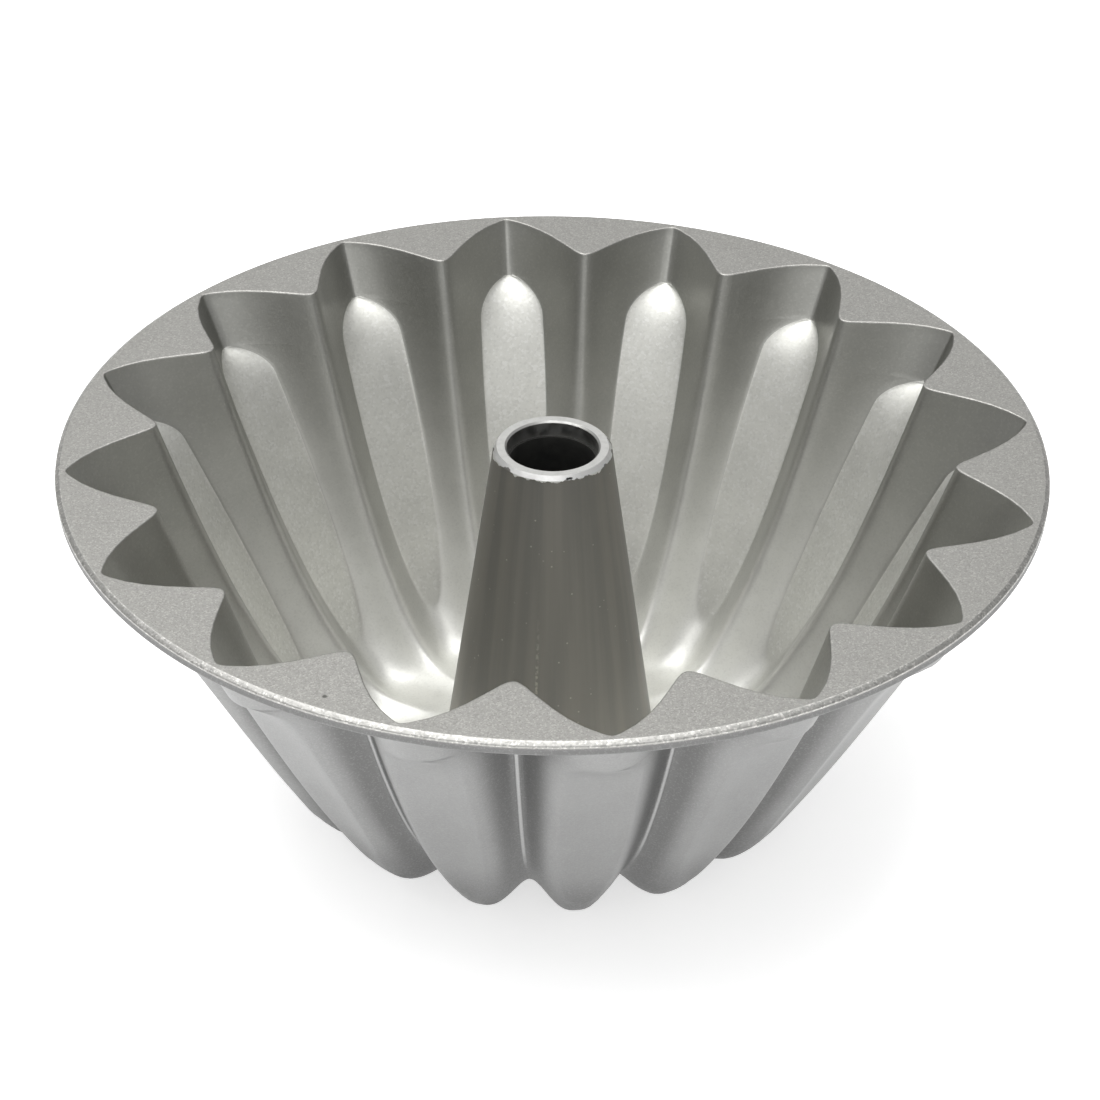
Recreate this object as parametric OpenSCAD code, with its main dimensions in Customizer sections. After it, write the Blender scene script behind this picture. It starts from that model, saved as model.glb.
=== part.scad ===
// Fluted ring cake pan: a cast shell with sixteen leaf-shaped flutes, a conical
// centre tube seated in its floor, and a turned ring let into the tube's top.
// Millimetres, +Z up. The origin is on the axis, in the plane the pan rests on.

/* [Rim] */
// Outside diameter of the rim flange
rim_d = 266.7; // [264:0.1:272]
// Height of the rim's top face above the resting plane
rim_h = 110; // [107:0.5:114]
// Thickness of the rim flange
flange_t = 3.6; // [3.2:0.1:4]
// Width of flange left between a flute's point and the outside of the rim
tip_margin = 2.9; // [2.6:0.1:4]

/* [Flutes] */
// Depth of a flute at the rim, from its point in to the tooth between two flutes
flute_depth = 22; // [19:0.5:23]
// Drop from the rim to the point of the leaf's arch
arch_drop = 15; // [14:0.5:17]
// Radius of the leaf's lower end, where it meets the floor channel
leaf_foot_r = 73.5; // [72:0.5:75]
// Height of the leaf's lower end
leaf_foot_h = 12.5; // [12:0.5:14]
// Inward slope of the flat leaf face, per unit of height
leaf_slope = 0.52; // [0.5:0.01:0.54]
// How far the rounded shoulder at the arch stands out from the leaf face's line
shoulder_rise = 7.2; // [6.5:0.1:8]
// Radius of a ridge's crest at the height of the leaf's lower end
ridge_foot_r = 62; // [61:0.5:63]
// How pointed a flute is: 0 rounds its crease away, 1 makes its sides straight
crease = 0.45; // [0.35:0.05:0.55]

/* [Wall] */
// Thickness of the wall, and of the floor between its channels
wall_t = 1.8; // [1.6:0.1:2.2]
// Extra thickness behind a ridge, next to the rim
ridge_backing = 0.6; // [0.4:0.1:1]
// Extra thickness under a floor channel, part of which the feet's flats take off
foot_backing = 2.1; // [1.9:0.1:2.4]
// Height of the floor's upper face round the tube
floor_h = 7.4; // [7.2:0.1:8]

/* [Centre tube] */
// Radius of the tube's cone at the floor
tube_foot_r = 30.2; // [29.8:0.1:30.6]
// Radius of the tube's cone just under its top ring
tube_top_r = 16.2; // [16:0.1:17]
// Wall thickness of the tube
tube_wall = 3; // [2.6:0.1:3.2]
// Radius of the seat in the pan's floor, which the tube's spigot fills
seat_r = 29; // [28.5:0.1:29.2]

/* [Top ring] */
// Bore of the ring
ring_bore_d = 25; // [24.4:0.1:25.4]
// Depth from the ring's top to the ledge inside the tube
ring_h = 4.6; // [4:0.1:5]
// Width of the ledge that shows inside the bore, under the ring
ledge_w = 0.7; // [0.5:0.1:1]

/* [Hidden] */

flutes = 16;
half_pitch = 180 / flutes;
// One flute's point stands a little off the +Y axis
first_flute = 90 + 6.5;

rim_r = rim_d / 2;
tip_r = rim_r - tip_margin;
tooth_r = tip_r - flute_depth;
edge_r = flange_t / 2;
arch_h = rim_h - arch_drop;

// Inward slopes of the crease and of the ridge's crest, at the rim and at the foot
crease_lean = [0.49, 0.94];
ridge_lean = [0.33, 1.0];
// Shares of the wall's height over which those slopes hold
lean_hold = [0.41, 0.20];
// Height over which the shoulder fades into the flat leaf face
shoulder_fade = 5;

// Rounding of the tooth between two flutes, as a share of half a pitch
tooth_round = 0.12;
flank_power = 1.8;

// Lowest ring of the floor channels. Their undersides would dip just under the
// resting plane, and are cut off level there to make the pan's sixteen feet.
foot_dip = 1;
channel_r = 58;
channel_h = wall_t + foot_backing - foot_dip;
// Where a ridge levels out on the floor, and where the floor meets the tube's foot
ridge_toe_r = 49;
ridge_toe_h = floor_h - 0.6;
hub_r = 33;
// The mesh of the floor runs on inside the seat, which is then bored through it
core_r = 27;

// Tube and ring: both end level with the rim
ring_bore_r = ring_bore_d / 2;
neck_r = ring_bore_r - ledge_w;
ring_spigot_r = ring_bore_r + 1.7;
ledge_h = rim_h - ring_h;
shoulder_h = rim_h - 1.5;
neck_l = 2;
neck_taper_l = 6;
bore_bevel = 0.5;
chamfer_w = 1;
chamfer_h = 1.2;
foot_flare = 2.6;
flare_steps = 5;

// Mesh of the shell: rows down the wall, closest together on the arch's shoulder
shoulder_rows = [0, 1.6, 3.6, 6.4, 10.5, 16];
lower_rows = 6;
outer_rows = 4;
floor_rows = 4;
flank_steps = [0.34, 0.66, 0.88];
least_edge = 1;
// Half the angle that a foot's flat takes up
foot_edge = 4;
smooth = 96;

// ---- curves of one flute ---------------------------------------------------

function bezier(a, b, c, d, t) =
    pow(1 - t, 3) * a + 3 * pow(1 - t, 2) * t * b + 3 * (1 - t) * t * t * c + pow(t, 3) * d;

// Meridian of the wall from the rim down to the leaf's foot, as [radius, height]
function wall_curve(top_r, foot_r, lean, t) =
    let (drop = rim_h - leaf_foot_h, upper = lean_hold[0] * drop, lower = lean_hold[1] * drop)
    bezier([top_r, rim_h],
           [top_r - lean[0] * upper, rim_h - upper],
           [foot_r + lean[1] * lower, leaf_foot_h + lower],
           [foot_r, leaf_foot_h], t);

// Where along that meridian height h lies, found by halving
function wall_share(h, low = 0, high = 1, n = 22) =
    n == 0 ? (low + high) / 2
    : let (t = (low + high) / 2)
      wall_curve(0, 0, [0, 0], t)[1] > h ? wall_share(h, t, high, n - 1)
                                         : wall_share(h, low, t, n - 1);

// Meridian of the floor from the foot to the hub: s runs from 0 to 1
function floor_curve(foot_r, dip, low, rise, s) = s < 0.5
    ? bezier([foot_r, leaf_foot_h], [foot_r, leaf_foot_h] - dip, low + [rise, 0], low, 2 * s)
    : bezier(low, low - [rise, 0], [hub_r + 6, floor_h - 0.8], [hub_r, floor_h], 2 * s - 1);

function crease_floor(s) = floor_curve(leaf_foot_r, [6, 5.2], [channel_r, channel_h], 6, s);
function ridge_floor(s) = floor_curve(ridge_foot_r, [4.5, 4.3], [ridge_toe_r, ridge_toe_h], 5, s);

// The flat leaf face, with the rounded shoulder that starts at its arch
function leaf_r(h) =
    leaf_foot_r + leaf_slope * (h - leaf_foot_h)
    + shoulder_rise * exp((h - arch_h) / shoulder_fade);

// An angle measured from the nearest crease
function near(a) = a > half_pitch ? a - 2 * half_pitch : a;

// Share of the flute's depth at angle a: 1 at the crease, 0 at the tooth
function flank(a) =
    let (q = 1 - abs(near(a)) / half_pitch,
         e = tooth_round,
         soft = (sqrt(q * q + e * e) - e) / (sqrt(1 + e * e) - e),
         u = 1 - soft)
    1 - crease * u - (1 - crease) * pow(u, flank_power);

// Angle at which a flute's side meets the leaf face at height h, found by halving
function leaf_edge(ridge, deep, h, low = 0, high = half_pitch, n = 12) =
    n == 0 ? (low + high) / 2
    : let (a = (low + high) / 2,
           behind = ridge + (deep - ridge) * flank(a) > leaf_r(h) / cos(a))
      behind ? leaf_edge(ridge, deep, h, a, high, n - 1)
             : leaf_edge(ridge, deep, h, low, a, n - 1);

// Angles of the mesh's columns from one crease to the next, for a leaf edge at b
function columns(b) =
    let (side = [b, for (s = flank_steps) b + (half_pitch - b) * s])
    concat([0], side, [half_pitch],
           [for (i = [len(side) - 1:-1:0]) 2 * half_pitch - side[i]]);

// ---- inner and outer face --------------------------------------------------

// A place on the inner face is set by s, which is 0 at the rim, 1 at the leaf's
// foot and 2 at the hub, and by the angle a from a crease
function height_at(s) = rim_h - s * (rim_h - leaf_foot_h);

function meridians(s) = s <= 1
    ? let (t = wall_share(height_at(s)))
      [wall_curve(tooth_r, ridge_foot_r, ridge_lean, t),
       wall_curve(tip_r, leaf_foot_r, crease_lean, t)]
    : [ridge_floor(s - 1), crease_floor(s - 1)];

function inner_point(s, m, a) =
    let (p = m[0] + (m[1] - m[0]) * flank(a))
    s > 1 || p[1] > arch_h ? p : [min(p[0], leaf_r(p[1]) / cos(near(a))), p[1]];

function edge_angle(s, m) = s > 1 ? foot_edge
    : max(least_edge, leaf_edge(m[0][0], m[1][0], min(m[0][1], arch_h)));

function inner_row(s) =
    let (m = meridians(s))
    [for (a = columns(edge_angle(s, m))) concat(inner_point(s, m, a), a)];

// The outer face is the inner one moved square to its meridian by the wall's
// thickness. That grows towards the middle of a floor channel, and towards a ridge
// next to the rim.
function backing(s, a) =
    wall_t + (s > 1 ? foot_backing * sin(180 * (s - 1)) * flank(a)
                    : ridge_backing * (1 - s) * (1 - flank(a)));

function outer_row(s) =
    let (step = s > 0.5 ? -0.01 : 0.01,
         m = meridians(s), m2 = meridians(s + step))
    [for (a = columns(edge_angle(s, m)))
        let (p = inner_point(s, m, a),
             d = (inner_point(s + step, m2, a) - p) * sign(step),
             out = p + backing(s, a) * [-d[1], d[0]] / norm(d))
        [min(out[0], rim_r - edge_r), min(out[1], rim_h - flange_t), a]];

function ring_row(r, h) = [for (a = columns(least_edge)) [r, h, a]];

// Places of the rows: from the hub up to the rim, round the rim, and down again
shoulder_s = [for (d = shoulder_rows) (arch_drop + d) / (rim_h - leaf_foot_h)];
lower_s = [for (i = [1:lower_rows])
    let (from = shoulder_s[len(shoulder_s) - 1]) from + (1 - from) * i / lower_rows];
inner_s = concat([0, shoulder_s[0] / 2], shoulder_s, lower_s);
outer_s = concat([shoulder_s[0] / 2], shoulder_s,
    [for (i = [1:outer_rows])
        let (from = shoulder_s[len(shoulder_s) - 1]) from + (1 - from) * i / outer_rows]);
floor_s = [for (i = [1:floor_rows]) 1 + i / floor_rows];

function backwards(list) = [for (i = [len(list) - 1:-1:0]) list[i]];

edge_rows = [for (a = [90:-45:-90])
    ring_row(rim_r - edge_r + edge_r * cos(a), rim_h - edge_r + edge_r * sin(a))];

rows = concat(
    [ring_row(core_r, floor_h)],
    [for (s = backwards(floor_s)) inner_row(s)],
    [for (s = backwards(inner_s)) inner_row(s)],
    edge_rows,
    [for (s = outer_s) outer_row(s)],
    [for (s = floor_s) outer_row(s)],
    [ring_row(core_r, floor_h - wall_t)]);

ring_n = flutes * len(rows[0]);

shell_points = [for (row = rows) for (k = [0:flutes - 1]) for (p = row)
    let (a = first_flute + 2 * half_pitch * k + p[2])
    [p[0] * cos(a), p[0] * sin(a), p[1]]];

shell_faces = [for (i = [0:len(rows) - 1]) for (j = [0:ring_n - 1])
    let (i2 = (i + 1) % len(rows), j2 = (j + 1) % ring_n,
         a = i * ring_n + j, b = i * ring_n + j2,
         c = i2 * ring_n + j2, d = i2 * ring_n + j)
    each [[a, b, c], [a, c, d]]];

// ---- parts -----------------------------------------------------------------

// Wall, floor and rim flange, cast in one. The tube's seat is bored in the floor,
// and the undersides of the channels are cut off level as feet.
module fluted_shell() {
    color([0.70, 0.70, 0.67])
    difference() {
        polyhedron(points = shell_points, faces = shell_faces, convexity = 12);
        translate([0, 0, -1]) cylinder(r = seat_r, h = floor_h + 20, $fn = smooth);
        translate([-rim_r, -rim_r, -rim_h]) cube([rim_d, rim_d, rim_h]);
    }
}

// A hollow cone with a small flared foot on the floor, a spigot down through the
// seat, and a neck counterbored at the top to take the ring
module centre_tube() {
    flare = [for (i = [0:flare_steps])
        let (a = 90 * i / flare_steps)
        [tube_foot_r + foot_flare * (1 - sin(a)), floor_h + foot_flare * (1 - cos(a))]];
    color([0.42, 0.41, 0.37])
    rotate_extrude($fn = smooth)
        polygon(concat(
            [[seat_r, floor_h - wall_t], [seat_r, floor_h]],
            flare,
            [[tube_top_r, shoulder_h],
             [ring_spigot_r, shoulder_h],
             [ring_spigot_r, ledge_h],
             [neck_r, ledge_h],
             [neck_r, ledge_h - neck_l],
             [tube_top_r - tube_wall, ledge_h - neck_l - neck_taper_l],
             [seat_r - tube_wall, floor_h - wall_t]]));
}

// A flanged bush: flat top, worn chamfer outside, small bevel at its bore, and a
// spigot that stands on the ledge inside the tube
module tube_top_ring() {
    color([0.78, 0.78, 0.75])
    rotate_extrude($fn = smooth)
        polygon([[ring_bore_r, ledge_h],
                 [ring_spigot_r, ledge_h],
                 [ring_spigot_r, shoulder_h],
                 [tube_top_r, shoulder_h],
                 [tube_top_r, rim_h - chamfer_h],
                 [tube_top_r - chamfer_w, rim_h],
                 [ring_bore_r + bore_bevel, rim_h],
                 [ring_bore_r, rim_h - bore_bevel]]);
}

fluted_shell();
centre_tube();
tube_top_ring();
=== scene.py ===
"""A fluted ring cake pan: its visible pieces and finishes, a plain studio and a camera."""

import sys

import logging
import math
from collections.abc import Sequence
from dataclasses import dataclass, field
from enum import Enum

import bpy
import numpy as np
from mathutils import Euler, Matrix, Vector


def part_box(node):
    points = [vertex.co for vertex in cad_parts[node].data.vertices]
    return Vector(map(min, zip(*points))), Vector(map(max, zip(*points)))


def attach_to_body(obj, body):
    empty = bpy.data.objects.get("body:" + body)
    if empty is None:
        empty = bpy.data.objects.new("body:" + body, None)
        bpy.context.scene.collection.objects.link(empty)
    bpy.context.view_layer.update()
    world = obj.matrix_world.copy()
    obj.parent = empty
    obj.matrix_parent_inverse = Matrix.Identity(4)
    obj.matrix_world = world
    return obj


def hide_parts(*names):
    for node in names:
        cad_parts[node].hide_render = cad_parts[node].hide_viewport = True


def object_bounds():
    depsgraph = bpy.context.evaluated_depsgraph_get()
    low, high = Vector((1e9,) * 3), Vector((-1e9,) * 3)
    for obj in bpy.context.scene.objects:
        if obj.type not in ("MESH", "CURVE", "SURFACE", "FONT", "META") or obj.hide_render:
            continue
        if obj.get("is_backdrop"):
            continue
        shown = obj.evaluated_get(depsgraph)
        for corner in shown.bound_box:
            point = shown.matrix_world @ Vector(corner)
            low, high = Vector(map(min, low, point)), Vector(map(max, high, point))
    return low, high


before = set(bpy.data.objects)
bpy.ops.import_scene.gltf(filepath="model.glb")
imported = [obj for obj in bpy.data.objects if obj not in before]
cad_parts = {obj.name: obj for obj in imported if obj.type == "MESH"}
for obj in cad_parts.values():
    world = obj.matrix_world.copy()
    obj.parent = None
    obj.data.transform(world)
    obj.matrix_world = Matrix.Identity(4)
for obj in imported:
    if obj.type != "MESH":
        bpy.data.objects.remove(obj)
CAD_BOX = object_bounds()
LOG = logging.getLogger("ring_pan")
MM = 0.001
RELIEF = "relief"
SHARP_ANGLE = 38.0
FLAKE_HEIGHT = 0.0054
WORN_FROM = 0.1086
TUBE_COAT = (0.265, 0.26, 0.245)
# Bare metal where the coating is gone, painted far lighter than the ring's face: a painted
# highlight from the front light.
LIT_BARE_METAL = (0.95, 0.95, 0.93)
Point = tuple[float, float]
Colour = tuple[float, float, float]


# ---- curves ----


def bezier(points: Sequence[Sequence[float]], t: np.ndarray) -> np.ndarray:
    """A cubic curve in a plane.

    Args:
        points: Its four control points, each as radius and height.
        t: Places along the curve, from 0 to 1.

    Returns:
        One radius and height for each place.
    """
    p = np.asarray(points, float)
    u = np.asarray(t, float)[:, None]
    v = 1 - u
    return v**3 * p[0] + 3 * v**2 * u * p[1] + 3 * v * u**2 * p[2] + u**3 * p[3]


def smooth_step(x: np.ndarray) -> np.ndarray:
    """An S-shaped ramp from 0 to 1 as x goes from 0 to 1."""
    x = np.clip(x, 0, 1)
    return x * x * (3 - 2 * x)


def softened(x: np.ndarray, rounding: np.ndarray | float) -> np.ndarray:
    """x from 0 to 1, with its corner at 0 rounded off."""
    return (np.sqrt(x * x + rounding**2) - rounding) / (np.sqrt(1 + rounding**2) - rounding)


def smooth_min(a: np.ndarray, b: np.ndarray, fillet: float) -> np.ndarray:
    """The lesser of a and b, with the corner between them filled out by half a fillet."""
    return 0.5 * (a + b - np.sqrt((a - b) ** 2 + fillet**2))


def arc(centre: Point, radius: float, start: float, end: float, steps: int) -> list[Point]:
    """Points on an arc in the plane of radius and height.

    Args:
        centre: Middle of the arc.
        radius: Its radius.
        start: Angle of its first point in degrees, 0 pointing outwards and 90 up.
        end: Angle of its last point.
        steps: Number of pieces it is cut into.

    Returns:
        steps + 1 points, as radius and height.
    """
    turns = np.radians(np.linspace(start, end, steps + 1))
    return [(centre[0] + radius * math.cos(a), centre[1] + radius * math.sin(a)) for a in turns]


# ---- the rule of the flutes ----


@dataclass(frozen=True)
class Softness:
    """How far the corners of a fluted face are rounded.

    Attributes:
        crease: Rounding of a flute's crease, in degrees about the pan's axis.
        tooth: Rounding of a ridge's crest, as a share of half a pitch.
        leaf: Fillet along the edge of a leaf, in millimetres.
        bowl: How squarely the channels of the floor are hollowed out.
    """

    crease: float
    tooth: float
    leaf: float
    bowl: float = 2.1


@dataclass(frozen=True)
class FluteRule:
    """The rule that gives the shell's faces at a place s and an angle a.

    s is 0 at the rim, 1 at the leaves' feet and 2 at the hub. a is in degrees, from a
    flute's crease. Lengths are in millimetres.
    """

    rim_r: float
    rim_h: float
    flutes: int = 16
    first_flute: float = 96.5
    tip_margin: float = 2.9
    flute_depth: float = 22.0
    arch_drop: float = 15.0
    leaf_foot: tuple[float, float] = (73.5, 12.5)
    leaf_slope: float = 0.52
    shoulder_rise: float = 7.2
    shoulder_fade: float = 5.0
    leaf_half: float = 9.5
    leaf_arch: float = 8.0
    ridge_foot_r: float = 62.0
    crease_lean: tuple[float, float] = (0.49, 0.94)
    ridge_lean: tuple[float, float] = (0.33, 1.0)
    lean_hold: tuple[float, float] = (0.41, 0.20)
    crease_share: float = 0.45
    flank_power: float = 1.8
    bowl_start: float = 0.84
    bowl_length: float = 0.25
    leaf_columns: int = 5
    channel: tuple[float, float] = (58.0, 2.9)
    ridge_toe: tuple[float, float] = (49.0, 6.8)
    hub: tuple[float, float] = (33.0, 7.4)
    least_edge: float = 1.3

    @property
    def half_pitch(self) -> float:
        """Angle from a flute's crease to the ridge beside it, in degrees."""
        return 180 / self.flutes

    @property
    def leaf_top(self) -> float:
        """Place of the leaves' upper ends."""
        return self.arch_drop / self.wall_drop

    @property
    def wall_drop(self) -> float:
        """Height from the leaves' feet to the rim."""
        return self.rim_h - self.leaf_foot[1]

    def share(self, drops: Sequence[float]) -> np.ndarray:
        """The places s of some drops below the rim, all of them on the wall."""
        return np.asarray(drops, float) / self.wall_drop

    def wall_line(self, s: np.ndarray, crease: bool) -> np.ndarray:
        """Meridian of the wall, along a crease or along a ridge's crest.

        Args:
            s: Places on the wall.
            crease: Whether the line runs along a crease.

        Returns:
            One radius and height for each place.
        """
        tip_r = self.rim_r - self.tip_margin
        top_r = tip_r if crease else tip_r - self.flute_depth
        foot_r = self.leaf_foot[0] if crease else self.ridge_foot_r
        lean = self.crease_lean if crease else self.ridge_lean
        foot_h = self.leaf_foot[1]
        upper = self.lean_hold[0] * self.wall_drop
        lower = self.lean_hold[1] * self.wall_drop
        points = [
            (top_r, self.rim_h),
            (top_r - lean[0] * upper, self.rim_h - upper),
            (foot_r + lean[1] * lower, foot_h + lower),
            (foot_r, foot_h),
        ]
        target = self.rim_h - np.clip(s, 0, 1) * self.wall_drop
        low = np.zeros_like(target)
        high = np.ones_like(target)
        for _ in range(30):
            middle = (low + high) / 2
            above = bezier(points, middle)[:, 1] > target
            low = np.where(above, middle, low)
            high = np.where(above, high, middle)
        return bezier(points, (low + high) / 2)

    def leaf_edge(self, s: np.ndarray) -> np.ndarray:
        """Angle from a leaf's middle to its edge: an arch, straight sides and a spoon-like foot."""
        below = s * self.wall_drop - self.arch_drop
        length = self.wall_drop - self.arch_drop
        arch = 1 - (1 - np.clip(below / self.leaf_arch, 0, 1)) ** 2
        foot = np.clip((below - self.leaf_arch) / (length - self.leaf_arch), 0, 1)
        half = self.leaf_half * arch**0.55 * np.sqrt(1 - foot**2.55)
        return np.degrees(half / self.leaf_r(self.rim_h - s * self.wall_drop))

    def floor_line(self, s: np.ndarray, crease: bool) -> np.ndarray:
        """Meridian of the floor, as wall_line gives it for the wall."""
        foot = (self.leaf_foot[0] if crease else self.ridge_foot_r, self.leaf_foot[1])
        dip = (6.0, 5.2) if crease else (4.5, 4.3)
        low = self.channel if crease else self.ridge_toe
        reach = 6.0 if crease else 5.0
        first = [foot, (foot[0] - dip[0], foot[1] - dip[1]), (low[0] + reach, low[1]), low]
        second = [low, (low[0] - reach, low[1]), (self.hub[0] + 6, self.hub[1] - 0.8), self.hub]
        t = np.clip(s - 1, 0, 1) * 2
        outer = bezier(first, np.clip(t, 0, 1))
        inner = bezier(second, np.clip(t - 1, 0, 1))
        return np.where((t < 1)[:, None], outer, inner)

    def meridian(self, s: np.ndarray, crease: bool) -> np.ndarray:
        """Meridian of wall and floor, along a crease or along a ridge's crest."""
        return np.where((s <= 1)[:, None], self.wall_line(s, crease), self.floor_line(s, crease))

    def leaf_r(self, h: np.ndarray) -> np.ndarray:
        """Distance of the leaf's face from the axis at height h, with the arch's shoulder."""
        over_arch = (h - (self.rim_h - self.arch_drop)) / self.shoulder_fade
        flat = self.leaf_foot[0] + self.leaf_slope * (h - self.leaf_foot[1])
        return flat + self.shoulder_rise * np.exp(over_arch)

    def near(self, a: np.ndarray) -> np.ndarray:
        """The angle measured from the nearest crease."""
        return np.where(a > self.half_pitch, 2 * self.half_pitch - a, a)

    def flank(self, s: np.ndarray, a: np.ndarray, soft: Softness) -> np.ndarray:
        """Share of a flute's depth: 1 at its crease, 0 at a ridge's crest.

        Args:
            s: Places, one for each row of a.
            a: Angles from a crease.
            soft: Rounding of crease and crest.

        Returns:
            One share for each angle.
        """
        x = softened(self.near(a) / self.half_pitch, soft.crease / self.half_pitch)
        share = smooth_step((s - self.bowl_start) / self.bowl_length)[:, None]
        u = 1 - softened(1 - x, soft.tooth * (1 + share))
        vee = 1 - self.crease_share * u - (1 - self.crease_share) * u**self.flank_power
        bowl = 1 - u**soft.bowl
        return vee * (1 - share) + bowl * share

    def face(self, s: np.ndarray, a: np.ndarray, soft: Softness) -> tuple[np.ndarray, np.ndarray]:
        """The inner face.

        Args:
            s: Places, one for each row of a.
            a: Angles from a crease.
            soft: Rounding of the face's corners.

        Returns:
            Radii and heights, each in the form of a.
        """
        ridge = self.meridian(s, False)[:, None, :]
        crease = self.meridian(s, True)[:, None, :]
        p = ridge + (crease - ridge) * self.flank(s, a, soft)[..., None]
        edge = np.maximum(self.leaf_edge(np.clip(s, 0, 1)), 0.01)[:, None]
        side = ridge + (crease - ridge) * self.flank(s, edge, soft)[..., None]
        gap = side[..., 0] - self.leaf_r(side[..., 1]) / np.cos(np.radians(edge))
        gap = np.where((s > self.leaf_top) & (s < 1), gap[:, 0], 0)[:, None]
        leaf = self.leaf_r(p[..., 1]) / np.cos(np.radians(self.near(a)))
        leaf = leaf + gap * np.minimum(self.near(a) / edge, 1) ** 2
        return smooth_min(p[..., 0], leaf, soft.leaf), p[..., 1]

    def columns(self, s: np.ndarray) -> np.ndarray:
        """Angles of the mesh's columns over one flute.

        They crowd together along the leaf's edge and over the ridge's crest.

        Args:
            s: Places, one for each row.

        Returns:
            A row of angles for each place, from a crease to just before the next one.
        """
        half = self.half_pitch
        degree = np.degrees(1 / self.meridian(s, True)[:, 0])
        edge = np.where(s < 1, self.leaf_edge(np.minimum(s, 1)), 0)
        edge = np.maximum(edge, self.least_edge * degree)
        edge = np.maximum(edge, smooth_step((s - 1) / 0.3) * 0.3 * half)
        fine = degree * np.minimum(1, (half - edge) / degree / 8)
        inside = [edge - np.minimum(d * degree, k * edge) for d, k in ((1.0, 0.45), (0.4, 0.2))]
        start = [0 * edge, 0.35 * inside[0], 0.7 * inside[0], *inside, edge]
        past = [edge + d * fine for d in (0.4, 1.0)]
        crest = [half - d * fine for d in (3.6, 2.3, 1.4, 0.75, 0.3)]
        side = [past[1] + (crest[0] - past[1]) * k for k in (0.2, 0.4, 0.6, 0.8)]
        line = np.stack([*start, *past, *side, *crest, half + 0 * edge], axis=1)
        return np.concatenate([line, 2 * half - line[:, -2:0:-1]], axis=1)

    def ring(self, radii: np.ndarray, heights: np.ndarray, a: np.ndarray) -> np.ndarray:
        """Rows of one flute, repeated round the pan.

        Args:
            radii: Radius of each point of one flute, row by row.
            heights: Its height.
            a: Its angle from the flute's crease.

        Returns:
            Points by row, round the pan and by X, Y and Z.
        """
        starts = self.first_flute + 2 * self.half_pitch * np.arange(self.flutes)
        turn = np.radians(np.concatenate([start + a for start in starts], axis=1))
        r = np.tile(radii, (1, self.flutes))
        h = np.tile(heights, (1, self.flutes))
        return np.stack([r * np.cos(turn), r * np.sin(turn), h], axis=2)


# ---- meshes ----


def closed_mesh(
    name: str, rows: np.ndarray, zones: np.ndarray, relief: np.ndarray | None = None
) -> bpy.types.Object:
    """A ring-shaped closed mesh whose last row joins its first one.

    Args:
        name: Name of the piece.
        rows: Points in millimetres, by row, round the ring and by X, Y and Z.
        zones: Material index of the face that starts at each point.
        relief: For each point 1 where it stands proud and 0 where it lies deep, if that matters; it
            places painted shade and a painted highlight in the outer coating.

    Returns:
        The new object, shaded smooth but for its sharp edges.
    """
    count, around, _ = rows.shape
    i, j = np.meshgrid(np.arange(count), np.arange(around), indexing="ij")
    i2 = (i + 1) % count
    j2 = (j + 1) % around
    corners = [i * around + j, i2 * around + j, i2 * around + j2, i * around + j2]
    faces = np.stack([c.ravel() for c in corners], axis=1)
    mesh = bpy.data.meshes.new(name)
    mesh.from_pydata((rows.reshape(-1, 3) * MM).tolist(), [], faces.tolist())
    mesh.polygons.foreach_set("material_index", np.asarray(zones, int).ravel())
    mesh.polygons.foreach_set("use_smooth", np.ones(len(faces), bool))
    mesh.validate()
    mesh.set_sharp_from_angle(angle=math.radians(SHARP_ANGLE))
    if relief is not None:
        attribute = mesh.attributes.new(RELIEF, "FLOAT", "POINT")
        attribute.data.foreach_set("value", relief.ravel().astype(np.float32))
    piece = bpy.data.objects.new(name, mesh)
    bpy.context.scene.collection.objects.link(piece)
    return piece


def outline_normals(row: np.ndarray) -> np.ndarray:
    """Level outward normals of a closed outline.

    Args:
        row: Points round the outline, anticlockwise.

    Returns:
        One unit vector, with no height, for each point.
    """
    along = np.roll(row, -1, axis=0) - np.roll(row, 1, axis=0)
    normals = np.stack([along[:, 1], -along[:, 0], 0 * along[:, 0]], axis=1)
    return normals / np.linalg.norm(normals, axis=1, keepdims=True)


# ---- finishes ----


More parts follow.
